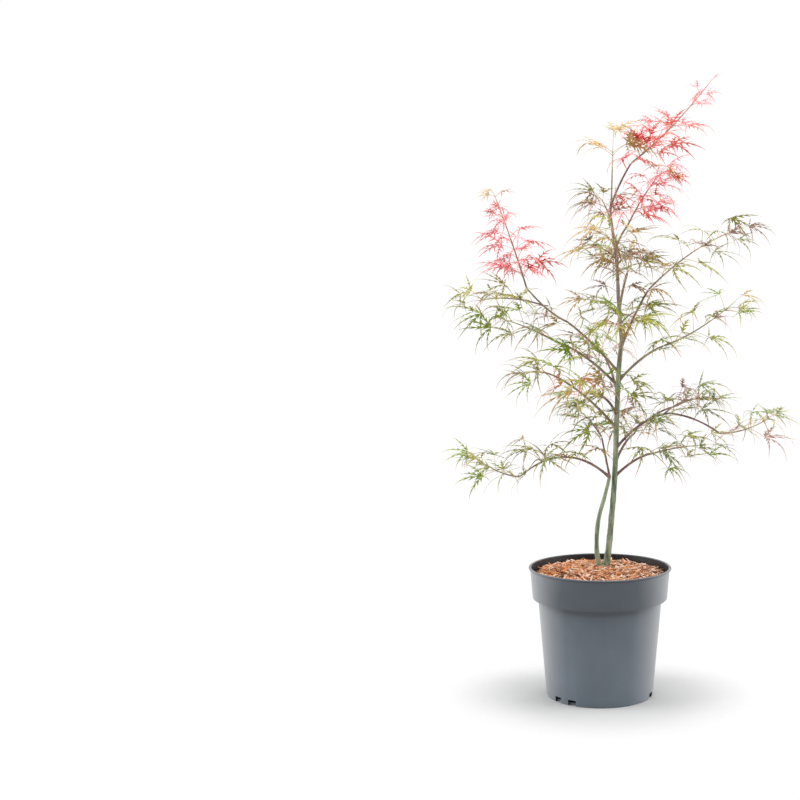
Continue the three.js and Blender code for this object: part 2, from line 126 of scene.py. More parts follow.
def makeStage():
    bpy.ops.mesh.primitive_circle_add(vertices=96, radius=stageLook["floorRadius"], fill_type="NGON")
    floor = bpy.context.object
    floor.name = "stageFloor"
    paint, nodes, links, shader = newMaterial("stageWhite", roughness=0.9)
    shader.inputs["Base Color"].default_value = (*[stageLook["floorGrey"]] * 3, 1)
    coords = nodes.new("ShaderNodeTexCoord")
    away = nodes.new("ShaderNodeVectorMath")
    away.operation = "LENGTH"
    links.new(coords.outputs["Object"], away.inputs[0])
    # painted shadow: the grey floor takes the lamps' real shadows, and also fades into the white glow away
    # from the pot, so it darkens towards the pot
    shadowFade = nodes.new("ShaderNodeMapRange")
    shadowFade.interpolation_type = "SMOOTHSTEP"
    shadowFade.inputs["From Min"].default_value = stageLook["plainFrom"]
    shadowFade.inputs["From Max"].default_value = stageLook["plainTo"]
    links.new(away.outputs["Value"], shadowFade.inputs["Value"])
    glow = nodes.new("ShaderNodeEmission")
    glow.inputs["Strength"].default_value = stageLook["white"]
    mix = nodes.new("ShaderNodeMixShader")
    links.new(shadowFade.outputs["Result"], mix.inputs["Fac"])
    links.new(shader.outputs["BSDF"], mix.inputs[1])
    links.new(glow.outputs["Emission"], mix.inputs[2])
    links.new(mix.outputs["Shader"], nodes["Material Output"].inputs["Surface"])
    floor.data.materials.append(paint)

    world = bpy.data.worlds.new("whiteRoom")
    world.use_nodes = True
    sky = world.node_tree.nodes["Background"]
    sky.inputs["Color"].default_value = (1, 1, 1, 1)
    ray = world.node_tree.nodes.new("ShaderNodeLightPath")
    strength = world.node_tree.nodes.new("ShaderNodeMapRange")
    strength.inputs["To Min"].default_value = stageLook["fill"]
    strength.inputs["To Max"].default_value = stageLook["white"]
    world.node_tree.links.new(ray.outputs["Is Camera Ray"], strength.inputs["Value"])
    world.node_tree.links.new(strength.outputs["Result"], sky.inputs["Strength"])
    bpy.context.scene.world = world
    bpy.context.scene.view_settings.view_transform = "Standard"
    for name, place, size, watts in stageLook["lamps"]:
        aim = (up * stageLook["aimHeight"] - Vector(place)).to_track_quat("-Z", "Y").to_euler()
        bpy.ops.object.light_add(type="AREA", location=place, rotation=aim)
        lamp = bpy.context.object
        lamp.name = name
        lamp.data.size = size
        lamp.data.energy = watts


# helpers for materials and meshes

def newMaterial(name, roughness=0.6, gloss=0.5):
    paint = bpy.data.materials.new(name)
    paint.use_nodes = True
    nodes = paint.node_tree.nodes
    shader = nodes["Principled BSDF"]
    shader.inputs["Roughness"].default_value = roughness
    shader.inputs["Specular IOR Level"].default_value = gloss
    return paint, nodes, paint.node_tree.links, shader


def noiseOf(nodes, links, scale, detail, stretch=(1, 1, 1)):
    coords = nodes.new("ShaderNodeTexCoord")
    mapping = nodes.new("ShaderNodeMapping")
    mapping.inputs["Scale"].default_value = stretch
    links.new(coords.outputs["Object"], mapping.inputs["Vector"])
    noise = nodes.new("ShaderNodeTexNoise")
    noise.inputs["Scale"].default_value = scale
    noise.inputs["Detail"].default_value = detail
    links.new(mapping.outputs["Vector"], noise.inputs["Vector"])
    return noise


def rampOf(nodes, links, source, stops):
    ramp = nodes.new("ShaderNodeValToRGB")
    marks = ramp.color_ramp.elements
    while len(marks) < len(stops):
        marks.new(0.5)
    for mark, (place, colour) in zip(marks, stops):
        mark.position = place
        mark.color = (*colour, 1)
    links.new(source, ramp.inputs["Fac"])
    return ramp


def heightOf(nodes, links, low, high):
    # runs from 0 to 1 between two heights in metres
    coords = nodes.new("ShaderNodeTexCoord")
    split = nodes.new("ShaderNodeSeparateXYZ")
    links.new(coords.outputs["Object"], split.inputs["Vector"])
    height = nodes.new("ShaderNodeMapRange")
    height.inputs["From Min"].default_value = low
    height.inputs["From Max"].default_value = high
    links.new(split.outputs["Z"], height.inputs["Value"])
    return height.outputs["Result"]


def mixOf(nodes, links, how, share, first, second):
    # the share may be left out, and the second colour may be a plain one
    mix = nodes.new("ShaderNodeMix")
    mix.data_type = "RGBA"
    mix.blend_type = how
    mix.inputs["Factor"].default_value = 1
    sockets = {socket.name: socket for socket in mix.inputs if socket.type == "RGBA"}
    if share:
        links.new(share, mix.inputs["Factor"])
    links.new(first, sockets["A"])
    if isinstance(second, tuple):
        sockets["B"].default_value = (*second, 1)
    else:
        links.new(second, sockets["B"])
    return next(socket for socket in mix.outputs if socket.type == "RGBA")


def bumpFrom(nodes, links, shader, source, strength, distance):
    bump = nodes.new("ShaderNodeBump")
    bump.inputs["Strength"].default_value = strength
    bump.inputs["Distance"].default_value = distance
    links.new(source, bump.inputs["Height"])
    links.new(bump.outputs["Normal"], shader.inputs["Normal"])


def makePatchyPaint(name, stops, patches, grain, relief, roughness, gloss=0.5):
    # patches and grain are a noise's scale and detail, relief is the bump's strength and distance
    paint, nodes, links, shader = newMaterial(name, roughness, gloss)
    colour = rampOf(nodes, links, noiseOf(nodes, links, *patches).outputs["Fac"], stops)
    links.new(colour.outputs["Color"], shader.inputs["Base Color"])
    bumpFrom(nodes, links, shader, noiseOf(nodes, links, *grain).outputs["Fac"], *relief)
    return paint


def finishPiece(piece, name, paint, slot, *nodes):
    piece.name = name
    piece.data.name = name
    piece.data.materials.clear()
    piece.data.materials.append(paint)
    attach(piece, "root")
    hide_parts(*nodes)
    bpy.ops.object.select_all(action="DESELECT")


def startEdit():
    bpy.ops.object.mode_set(mode="EDIT")
    bpy.ops.mesh.select_all(action="SELECT")


def endEdit():
    # turns the faces outwards and puts the object's place into its mesh
    bpy.ops.mesh.select_all(action="SELECT")
    bpy.ops.mesh.normals_make_consistent(inside=False)
    bpy.ops.object.mode_set(mode="OBJECT")
    bpy.ops.object.transform_apply(location=True, rotation=True, scale=True)


def applyModifiers(piece):
    bpy.context.view_layer.objects.active = piece
    for modifier in list(piece.modifiers):
        bpy.ops.object.modifier_apply(modifier=modifier.name)


def joinedMesh(name, shapes):
    # one mesh from many small shapes, each a pair of points in mm and faces
    corners, faces, first = [], [], 0
    for points, shapeFaces in shapes:
        corners.append(np.asarray(points, float) * mm)
        faces.extend([corner + first for corner in face] for face in shapeFaces)
        first += len(points)
    mesh = bpy.data.meshes.new(name)
    mesh.from_pydata(np.concatenate(corners).tolist(), [], faces)
    mesh.update()
    piece = bpy.data.objects.new(name, mesh)
    bpy.context.scene.collection.objects.link(piece)
    return piece


def seededDraws(seed):
    state = [seed]

    def draw():
        state[0] = state[0] * 16807 % 2147483647
        return state[0] / 2147483647

    return draw


# the pot: one disc raised ring by ring, up the outside, over the rim and down the inside

potShape = {
    "sides": 128,
    "rimEdge": 2.5,
    "collarTop": 93,
    "collarFoot": 89.6,
    "collarBottom": 129.5,
    "bodyTop": 82.6,
    "baseRadius": 71.2,
    "wall": 1.6,
    "floor": 3,
    "edge": 1.5,
    "slots": [221, 240],      # headings of a pair of drain slots, every 120 degrees
    "slotWide": 12,
    "slotHigh": 7.5,
    "slotDeep": 4.5,
    "slotRounding": 0.08,     # share of each side
    "smoothUnder": 32,        # degrees between faces
}


def raiseDisc(rings, sides):
    # a disc is extruded from ring to ring into a closed shape; a ring is its radius and height
    radius, height = rings[0]
    bpy.ops.mesh.primitive_circle_add(vertices=sides, radius=radius * mm, location=(0, 0, height * mm),
                                      fill_type="NGON")
    startEdit()
    for nextRadius, nextHeight in rings[1:]:
        bpy.ops.mesh.extrude_region_move(
            TRANSFORM_OT_translate={"value": (0, 0, (nextHeight - height) * mm)})
        share = nextRadius / radius
        bpy.ops.transform.resize(value=(share, share, 1), center_override=(0, 0, nextHeight * mm))
        radius, height = nextRadius, nextHeight
    endEdit()
    return bpy.context.object


def makePot():
    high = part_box("pot")[1]
    rimRadius = high.x / mm
    height = high.z / mm
    wall = potShape["wall"]
    body, collarFoot, collarTop = potShape["bodyTop"], potShape["collarFoot"], potShape["collarTop"]
    base, edge, shelf = potShape["baseRadius"], potShape["edge"], potShape["collarBottom"]
    rimBottom = height - potShape["rimEdge"]
    outside = [
        (base - 9, 0.6), (base - 8, 0), (base - edge, 0), (base - 0.4, 0.4), (base, edge),
        (body - 0.4, shelf - 1.6), (body + 0.2, shelf - 0.4), (body + 1.2, shelf),
        (collarFoot - 1.4, shelf), (collarFoot - 0.3, shelf + 0.4), (collarFoot + 0.1, shelf + 1.8),
        (collarTop - 0.3, rimBottom - 1.2), (collarTop + 0.5, rimBottom),
        (rimRadius - 0.7, rimBottom), (rimRadius, rimBottom + 0.7), (rimRadius, height - 0.9),
        (rimRadius - 0.9, height),
    ]
    inside = [
        (collarTop - wall + 0.8, height), (collarTop - wall, height - 0.8),
        (collarFoot - wall, shelf + wall), (body - wall, shelf + wall / 2),
        (base - wall, potShape["floor"]),
    ]
    pot = raiseDisc(outside + inside, potShape["sides"])
    cutDrainSlots(pot)
    bpy.ops.object.select_all(action="DESELECT")
    pot.select_set(True)
    bpy.context.view_layer.objects.active = pot
    bpy.ops.object.shade_smooth_by_angle(angle=math.radians(potShape["smoothUnder"]))
    finishPiece(pot, "pot_shell", makePotPlastic(), "pot", "pot")


def cutDrainSlots(pot):
    radius = potShape["baseRadius"] * mm
    size = Vector((2 * potShape["slotDeep"], potShape["slotWide"], 2 * potShape["slotHigh"]))
    cutters = []
    for turn in (0, 120, 240):
        for heading in potShape["slots"]:
            angle = math.radians(heading + turn)
            place = (radius * math.cos(angle), radius * math.sin(angle), 0)
            bpy.ops.mesh.primitive_cube_add(size=1, location=place, rotation=(0, 0, angle))
            cutter = bpy.context.object
            cutter.scale = size * mm
            rounding = cutter.modifiers.new("rounding", "BEVEL")
            rounding.width = potShape["slotRounding"]
            rounding.segments = 2
            applyModifiers(cutter)
            cutters.append(cutter)
    bpy.ops.object.select_all(action="DESELECT")
    for cutter in cutters:
        cutter.select_set(True)
    bpy.context.view_layer.objects.active = cutters[0]
    bpy.ops.object.join()
    cut = pot.modifiers.new("slots", "BOOLEAN")
    cut.object = cutters[0]
    cut.operation = "DIFFERENCE"
    cut.solver = "EXACT"
    applyModifiers(pot)
    bpy.data.objects.remove(cutters[0])


potFinish = {
    "grey": (0.125, 0.154, 0.188),
    "worn": (0.15, 0.183, 0.217),
    "roughness": (0.36, 0.5),
    # height in mm, and how much of the colour shows there: painted shade, darker up the pot where the collar
    # gets less light off the floor, and darkest in the crease under the collar
    "shadeByHeight": ((0, 1), (60, 0.84), (100, 0.74), (112, 0.66), (119, 0.57), (124, 0.37),
              (129, 0.39), (131, 0.45), (171, 0.47)),
    # painted shade inside the pot and under its lip and collar
    "inside": (0.16, 0.16, 0.16),
    "rim": (0.36, 0.37, 0.385),    # painted reflection: where the skin is seen edge on, its colour is mixed towards this lighter grey
    "rimFrom": 0.28,
}


def makePotPlastic():
    paint, nodes, links, shader = newMaterial("slatePlastic")
    clouds = noiseOf(nodes, links, 22, 5)
    colour = rampOf(nodes, links, clouds.outputs["Fac"],
                    [(0.35, potFinish["grey"]), (0.75, potFinish["worn"])])
    tall = potFinish["shadeByHeight"][-1][0]
    # painted shade by height
    heightShade = rampOf(nodes, links, heightOf(nodes, links, 0, tall * mm),
                  [(z / tall, (part,) * 3) for z, part in potFinish["shadeByHeight"]])
    # painted shade: the inner wall's faces look towards the axis, and they and the faces that look down are
    # darkened by the inside colour
    coords = nodes.new("ShaderNodeTexCoord")
    outward = nodes.new("ShaderNodeVectorMath")
    outward.operation = "DOT_PRODUCT"
    links.new(coords.outputs["Object"], outward.inputs[0])
    links.new(coords.outputs["Normal"], outward.inputs[1])
    inner = rampOf(nodes, links, outward.outputs["Value"],
                   [(0, potFinish["inside"]), (0.012, (1, 1, 1))])
    # painted sheen: towards the outline, where faces are seen edge on, the colour turns lighter
    facing = nodes.new("ShaderNodeLayerWeight")
    sheenShare = nodes.new("ShaderNodeMapRange")
    sheenShare.inputs["From Min"].default_value = potFinish["rimFrom"]
    links.new(facing.outputs["Facing"], sheenShare.inputs["Value"])
    heightShaded = mixOf(nodes, links, "MULTIPLY", None, colour.outputs["Color"], heightShade.outputs["Color"])
    sheened = mixOf(nodes, links, "MIX", sheenShare.outputs["Result"], heightShaded, potFinish["rim"])
    innerShaded = mixOf(nodes, links, "MULTIPLY", None, sheened, inner.outputs["Color"])
    links.new(innerShaded, shader.inputs["Base Color"])
    scuffs = noiseOf(nodes, links, 60, 6, (1, 1, 0.25))
    rough = nodes.new("ShaderNodeMapRange")
    rough.inputs["To Min"].default_value, rough.inputs["To Max"].default_value = potFinish["roughness"]
    links.new(scuffs.outputs["Fac"], rough.inputs["Value"])
    links.new(rough.outputs["Result"], shader.inputs["Roughness"])
    grain = noiseOf(nodes, links, 900, 2)
    bumpFrom(nodes, links, shader, grain.outputs["Fac"], 0.12, 0.0004)
    return paint


# mulch: a lumpy bed, and shreds and chips of bark strewn on it

mulchShape = {
    "sides": 96,
    "clear": 0.4,
    "edgeHeight": 159.5,
    "height": 167.5,
    "rings": 22,
    "lump": 5,             # relief of the bed
    "lumpSize": 16,
    "seed": 71,
    "chipSeed": 5,
    # how many, then the least and the most of length, width and thickness
    "shreds": (2300, (7, 27), (0.9, 2.6), (0.6, 1.5)),
    "chips": (520, (5, 14), (5, 11), (0.5, 1.6)),
    "reach": 87,           # furthest from the middle
    "pile": 3.2,           # how high the shreds lie on one another
    "tip": 44,             # degrees that a shred tips along its length, and across it
    "roll": 70,
}

barkTints = {
    # share on the left and on the right, deep and light colour
    "orange": ((0.5, 0.16), (0.6, 0.2, 0.06), (0.86, 0.38, 0.14)),
    "brown": ((0.2, 0.22), (0.3, 0.12, 0.06), (0.5, 0.23, 0.12)),
    "tan": ((0.24, 0.55), (0.74, 0.47, 0.33), (0.94, 0.7, 0.54)),
    "dark": ((0.06, 0.07), (0.055, 0.025, 0.014), (0.13, 0.06, 0.035)),
}


def bedHeight(radius):
    share = max(0.0, 1 - (radius / mulchShape["reach"]) ** 2)
    return mulchShape["edgeHeight"] + (mulchShape["height"] - mulchShape["edgeHeight"]) * share


def makeMulchBed():
    inset = potShape["wall"] + mulchShape["clear"]
    ledge = potShape["collarBottom"] + potShape["wall"]
    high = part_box("pot")[1].z / mm
    share = (mulchShape["edgeHeight"] - ledge) / (high - ledge)
    edge = potShape["collarFoot"] + (potShape["collarTop"] - potShape["collarFoot"]) * share - inset
    floor = potShape["slotHigh"] + mulchShape["clear"]
    rings = [
        (potShape["baseRadius"] - inset, floor), (potShape["bodyTop"] - inset, ledge),
        (potShape["collarFoot"] - inset, ledge + 1), (edge, mulchShape["edgeHeight"]),
    ]
    for step in range(1, mulchShape["rings"]):
        radius = edge * (1 - step / mulchShape["rings"])
        rings.append((radius, bedHeight(radius)))
    bed = raiseDisc(rings, mulchShape["sides"])
    top = bed.vertex_groups.new(name="top")
    top.add([v.index for v in bed.data.vertices
             if v.co.z > (mulchShape["edgeHeight"] + 0.2) * mm], 1, "REPLACE")
    lumps = bpy.data.textures.new("mulchLumps", "CLOUDS")
    lumps.noise_scale = mulchShape["lumpSize"] * mm
    lumps.noise_depth = 3
    relief = bed.modifiers.new("relief", "DISPLACE")
    relief.texture = lumps
    relief.texture_coords = "LOCAL"
    relief.direction = "Z"
    relief.vertex_group = "top"
    relief.strength = mulchShape["lump"] * mm
    relief.mid_level = 0.6
    applyModifiers(bed)
    finishPiece(bed, "mulch_bed", makeBarkShred("mulchBedBark", *barkTints["dark"][1:]), "mulch", "mulch")


def modelShred():
    # a torn strand of bark: a thin bar extruded along and bent, tapered to both ends
    bpy.ops.mesh.primitive_plane_add(size=1, location=(-0.5, 0, 0), rotation=(0, math.pi / 2, 0))
    shred = bpy.context.object
    shred.scale = (0.3, 0.5, 1)
    bpy.ops.object.transform_apply(location=True, rotation=True, scale=True)
    startEdit()
    for rise, grow in ((0.12, 1.7), (0.05, 1.15), (-0.06, 0.85), (-0.13, 0.5)):
        bpy.ops.mesh.extrude_region_move(TRANSFORM_OT_translate={"value": (0.25, 0.04, rise)})
        bpy.ops.transform.resize(value=(1, grow, grow))
    endEdit()
    return takeShape(shred)


def modelChip():
    # a flat flake of bark with broken corners
    bpy.ops.mesh.primitive_circle_add(vertices=6, radius=0.5, fill_type="NGON")
    chip = bpy.context.object
    draw = seededDraws(mulchShape["chipSeed"])
    for corner in chip.data.vertices:
        corner.co.x *= 0.75 + 0.5 * draw()
        corner.co.y *= 0.45 + 0.3 * draw()
    startEdit()
    bpy.ops.mesh.extrude_region_move(TRANSFORM_OT_translate={"value": (0.03, 0.02, 1)})
    bpy.ops.transform.resize(value=(0.8, 0.7, 1))
    endEdit()
    return takeShape(chip)


def takeShape(model):
    # the finished model as arrays, to be copied many times
    points = np.array([tuple(model.matrix_world @ v.co) for v in model.data.vertices])
    faces = [list(face.vertices) for face in model.data.polygons]
    bpy.data.objects.remove(model)
    return points, faces


def strewBark():
    draw = seededDraws(mulchShape["seed"])
    heaps = {tint: [] for tint in barkTints}
    models = ((modelShred(), mulchShape["shreds"]), (modelChip(), mulchShape["chips"]))
    for (points, faces), (count, lengths, widths, thick) in models:
        for _ in range(count):
            # short shreds are more common than long ones
            length = lengths[0] + (lengths[1] - lengths[0]) * draw() ** 1.6
            across = widths[0] + (widths[1] - widths[0]) * draw()
            size = np.array([length, across, thick[0] + (thick[1] - thick[0]) * draw()])
            radius = (mulchShape["reach"] - 0.42 * length) * math.sqrt(draw())
            around = 2 * math.pi * draw()
            place = np.array([radius * math.cos(around), radius * math.sin(around),
                              bedHeight(radius) + 0.2 + mulchShape["pile"] * draw() ** 2])
            turn = Matrix.Rotation(2 * math.pi * draw(), 3, "Z")
            for axis, most in (("Y", mulchShape["tip"]), ("X", mulchShape["roll"])):
                turn = turn @ Matrix.Rotation(math.radians(most * (draw() - 0.5)), 3, axis)
            pick = draw()
            rightward = (place[0] / mulchShape["reach"] + 1) / 2
            for tint, ((left, right), _, _) in barkTints.items():
                pick -= left + (right - left) * rightward
                if pick <= 0:
                    break
            placed = (points * size) @ np.array(turn.transposed()) + place
            if np.hypot(placed[:, 0], placed[:, 1]).max() < mulchShape["reach"] + 1.5:
                heaps[tint].append((placed, faces))
    for tint, shapes in heaps.items():
        piece = joinedMesh("mulch_" + tint, shapes)
        paint = makeBarkShred("bark_" + tint, *barkTints[tint][1:])
        finishPiece(piece, "mulch_" + tint, paint, "mulch", "mulch")


def makeBarkShred(name, deep, light):
    fibres = (420, 6)
    stops = [(0.3, deep), (0.7, light)]
    return makePatchyPaint(name, stops, patches=fibres, grain=fibres, relief=(0.5, 0.0006), roughness=0.85)


# the limbs' lines

footHeight = 169.8
rootHeight = footHeight - 6

stems = {
    "main_stem": {
        "points": [(6.6, 11, rootHeight), (11, 10.5, 187), (15.5, 10, 236), (19.7, 9.5, 295), (23.9, 9, 421),
                   (28.2, 9, 471)],
        "radii": [6.2, 4.3, 3.9, 3.7, 3.4, 3.1],
    },
    "second_stem": {
        "points": [(0.4, 3, rootHeight), (-4.2, 3, 193), (-2.4, 3.2, 231), (6.5, 3.6, 265), (13.2, 3.6, 293)],
        "radii": [4.4, 3, 2.8, 2.5, 2.2],
    },
    "leader": {
        "points": [(28.2, 9, 471.3), (24, 8, 523), (21.4, 7, 573), (13.5, 5, 633), (14, 4, 653)],
        "radii": [2.9, 2.5, 2.2, 1.8, 1.7],
    },
}


def limb(parent, heading, reach, rise, bow=4, **more):
    return {"parent": parent, "heading": heading, "reach": reach, "rise": rise, "bow": bow, **more}


# what each bough springs from, its heading, how far it reaches and rises, and how far it bows up;
# height is where it leaves a stem, at is where it leaves a bough, as a share of that bough's length
boughs = {
    "bough_low_left": limb("second_stem", 192, 60, 28, 7, height=290),
    "bough_low_left_outer": limb("bough_low_left", 190, 60, -25, 7),
    "bough_low_right": limb("main_stem", 20, 58, 30, 6, height=290),
    "bough_inner_left": limb("second_stem", 140, 14, 52, 0, height=291),
    "bough_mid_left": limb("main_stem", 205, 83, 68, 6, height=355),
    "bough_left_lower": limb("main_stem", 168, 88, 60, 8, height=411),
    "bough_left_upper": limb("main_stem", 196, 70, 67, 4, height=429),
    "bough_left_upper_outer": limb("bough_left_upper", 192, 54, 44, -5),
    "bough_right_middle": limb("main_stem", 350, 61, 48, 6, height=417),
    "bough_right_upper": limb("main_stem", 14, 38, 78, 5, height=461),
    "bough_right_lower": limb("main_stem", 340, 74, 49, 10, height=328),
    "bough_right_lower_outer": limb("bough_right_lower", 342, 67, -24, 5),
    "bough_right_inner": limb("bough_right_lower", 12, 42, 20, 3, at=0.55),
    "bough_top": limb("leader", 8, 27, 55, 4, height=649),
    "bough_top_right": limb("leader", 330, 18, 30, 3, height=591),
    "bough_back_low": limb("main_stem", 62, 56, 34, 6, height=309),
    "bough_back_middle": limb("main_stem", 104, 62, 44, 6, height=399),
    "bough_back_upper": limb("leader", 78, 54, 48, 5, height=511),
    "bough_front_low": limb("main_stem", 243, 62, 28, 8, height=373),
    "bough_front_middle": limb("main_stem", 276, 56, 40, 6, height=443),
    "bough_front_upper": limb("leader", 268, 48, 42, 4, height=551),
}

# foliage masses: a line as for a bough, what differs from the plain spray, and the tints its leaves are dealt
plain = {
    "bare": 0.16,          # share of the line before the first leaves
    "taper": 0.25,         # how much smaller the last leaves are
    "crowd": 1,            # over 1 the leaves crowd towards the foot
    "pairs": 3,
    "lobe": 44,            # longest lobe of a leaf
    "fall": 30,            # degrees that the leaves hang
    "twist": 0,            # and turn over
}
masses = {
    "foliage_low_left": limb("bough_low_left_outer", 190, 56, 25, -5, fall=20, tints="low"),
    "foliage_low_left_crest": limb("bough_low_left_outer", 150, 24, 20, 3, at=0.4, pairs=1, tints="low"),
    "foliage_low_left_hanging": limb("bough_low_left_outer", 232, 22, -3, 5, at=0.5, pairs=1, lobe=38,
                                     tints="low"),
    "foliage_low_right": limb("bough_low_right", 12, 66, 9, 2, pairs=4, lobe=48, fall=20, tints="low"),
    "foliage_low_right_hanging": limb("bough_low_right", 318, 30, -4, 6, at=0.72, pairs=1, fall=42,
                                      tints="low"),
    "foliage_inner_left": limb("bough_inner_left", 168, 30, 34, 3, lobe=42, fall=30, tints="low"),
    "foliage_mid_left": limb("bough_mid_left", 200, 36, 8, 3, lobe=46, tints="middle"),
    "foliage_mid_left_rust": limb("bough_mid_left", 232, 15, 15, 3, at=0.74, pairs=1, lobe=38, fall=36,
                                  tints="rusty"),
    "foliage_left_lower": limb("bough_left_lower", 176, 78, 31, 3, pairs=4, lobe=46, fall=24, twist=14,
                               tints="middle"),
    "foliage_left_lower_hanging": limb("bough_left_lower", 215, 9, 9, 2, at=0.45, pairs=1, lobe=52, fall=10,
                                       twist=-45, tints="fresh"),
    "foliage_left_upper": limb("bough_left_upper_outer", 178, 86, 6, 6, at=0.6, pairs=4, fall=24,
                               tints="middle"),
    "foliage_left_upper_inner": limb("bough_left_upper", 140, 38, 16, 3, at=0.8, pairs=2, lobe=42, fall=32,
                                     tints="middle"),
    "foliage_coral_left": limb("bough_left_upper_outer", 190, 42, 120, bare=0.1, crowd=1.5, pairs=12, lobe=40,
                               fall=14, taper=0.6, tints="coral"),
    "foliage_right_middle": limb("bough_right_middle", 352, 90, 56, -6, pairs=4, lobe=46, fall=26,
                                 tints="middle"),
    "foliage_right_upper": limb("bough_right_upper", 6, 116, 78, 10, pairs=6, lobe=46, fall=26, tints="high"),
    "foliage_right_lower": limb("bough_right_lower_outer", 345, 62, 20, -5, fall=16, tints="shaded"),
    "foliage_right_lower_crest": limb("bough_right_lower", 24, 36, 18, 3, at=0.9, pairs=3, lobe=44,
                                      tints="shaded"),
    "foliage_right_inner": limb("bough_right_inner", 10, 40, 10, 3, fall=28, tints="shaded"),
    "foliage_coral_top": limb("bough_top", 2, 104, 107, -7, bare=0.14, crowd=2, pairs=8, lobe=44, fall=-24,
                              taper=0.68, tints="coral"),
    "foliage_coral_top_right": limb("bough_top_right", 336, 48, 68, 5, bare=0.06, pairs=8, lobe=38, fall=20,
                                    tints="coral"),
    "foliage_tip": limb("leader", 30, 2, 68, 0, bare=0.88, pairs=2, lobe=46, fall=-4, taper=0.1,
                        tints="bronze"),
    "foliage_leader_left_upper": limb("leader", 190, 14, 34, height=622, lobe=44, fall=10, tints="dusk"),
    "foliage_leader_left": limb("leader", 158, 26, 16, 4, height=577, lobe=46, fall=24, tints="high"),
    "foliage_leader_left_lower": limb("leader", 184, 30, 20, 4, height=503, lobe=46, fall=28, tints="middle"),
    "foliage_leader_right": limb("leader", 22, 28, 16, 4, height=571, lobe=42, tints="high"),
    "foliage_leader_right_lower": limb("leader", 330, 30, 18, 4, height=493, lobe=38, fall=32,
                                       tints="middle"),
    "foliage_back_low": limb("bough_back_low", 72, 56, 12, lobe=46, fall=28, tints="low"),
    "foliage_back_middle": limb("bough_back_middle", 98, 58, 14, pairs=4, lobe=46, fall=28, tints="middle"),
    "foliage_back_upper": limb("bough_back_upper", 84, 48, 24, fall=26, tints="high"),
    "foliage_front_low": limb("bough_front_low", 250, 60, 4, tints="middle"),
    "foliage_front_middle": limb("bough_front_middle", 262, 50, 10, fall=28, tints="middle"),
    "foliage_front_upper": limb("bough_front_upper", 262, 52, 18, fall=26, tints="high"),
}


def stemCurve(points):
    places = [Vector(point) for point in points]
    chain = [2 * places[0] - places[1], *places, 2 * places[-1] - places[-2]]

    def point(share):
        place = share * (len(places) - 1)
        index = min(int(place), len(places) - 2)
        t = place - index
        before, first, second, after = chain[index:index + 4]
        leave, arrive = (second - before) / 2, (after - first) / 2
        return (first + leave * t + (3 * (second - first) - 2 * leave - arrive) * t * t
                + (2 * (first - second) + leave + arrive) * t * t * t)

    return point


def archCurve(start, heading, reach, rise, bow):
    turn = math.radians(heading)
    end = start + Vector((math.cos(turn) * reach, math.sin(turn) * reach, rise))
    control = (start + end) / 2 + up * 2 * bow

    def point(share):
        return start * (1 - share) ** 2 + control * (2 * share * (1 - share)) + end * share ** 2

    return point


def directionOf(curve, share):
    low, high = max(share - 0.001, 0), min(share + 0.001, 1)
    return (curve(high) - curve(low)).normalized()


def radiusAlong(radii, share):
    place = share * (len(radii) - 1)
    index = min(int(place), len(radii) - 2)
    return radii[index] + (radii[index + 1] - radii[index]) * (place - index)


def shareAtHeight(curve, height):
    low, high = 0, 1
    for _ in range(30):
        middle = (low + high) / 2
        if curve(middle).z < height:
            low = middle
        else:
            high = middle
    return low


def startOf(line, curves):
    curve = curves[line["parent"]]
    return curve(shareAtHeight(curve, line["height"]) if "height" in line else line.get("at", 1))


curves = {name: stemCurve(stem["points"]) for name, stem in stems.items()}
for name, line in {**boughs, **masses}.items():
    curves[name] = archCurve(startOf(line, curves), line["heading"], line["reach"], line["rise"], line["bow"])


# stems and boughs: a disc extruded along its line, swelling a little at each node

limbLook = {
    "sides": 14,
    "step": 6,             # between rings, in mm
    "nodes": 30,           # between one pair of leaf scars and the next
    "swell": 0.16,         # how much a limb swells at a node, and over what length
    "swellReach": 3,
    "smoothFoot": 8,       # no node up to here
    "collar": 0.45,        # how much it swells where it leaves another limb
    "collarReach": 9,
    "sunk": 1.6,           # how deep it starts in that limb
    "relief": 0.35,
    "reliefShares": (1.6, 0.8),    # of stems and of boughs
    "reliefSize": 5,
    "boughRadii": (1.85, 1.25),    # at the foot and at the end
    "outerRadii": (1.3, 1.05),
    "slimRadii": (1.4, 1.15),
    "slim": ("bough_inner_left", "bough_top", "bough_top_right"),
}


def pointsAlong(curve, steps):
    return [curve(step / steps) for step in range(steps + 1)]


def lengthOf(curve):
    points = pointsAlong(curve, 40)
    return sum((b - a).length for a, b in zip(points, points[1:]))


def limbRadii(name):
    if name in stems:
        return stems[name]["radii"]
    if name in limbLook["slim"]:
        return limbLook["slimRadii"]
    return limbLook["boughRadii"] if boughs[name]["parent"] in stems else limbLook["outerRadii"]


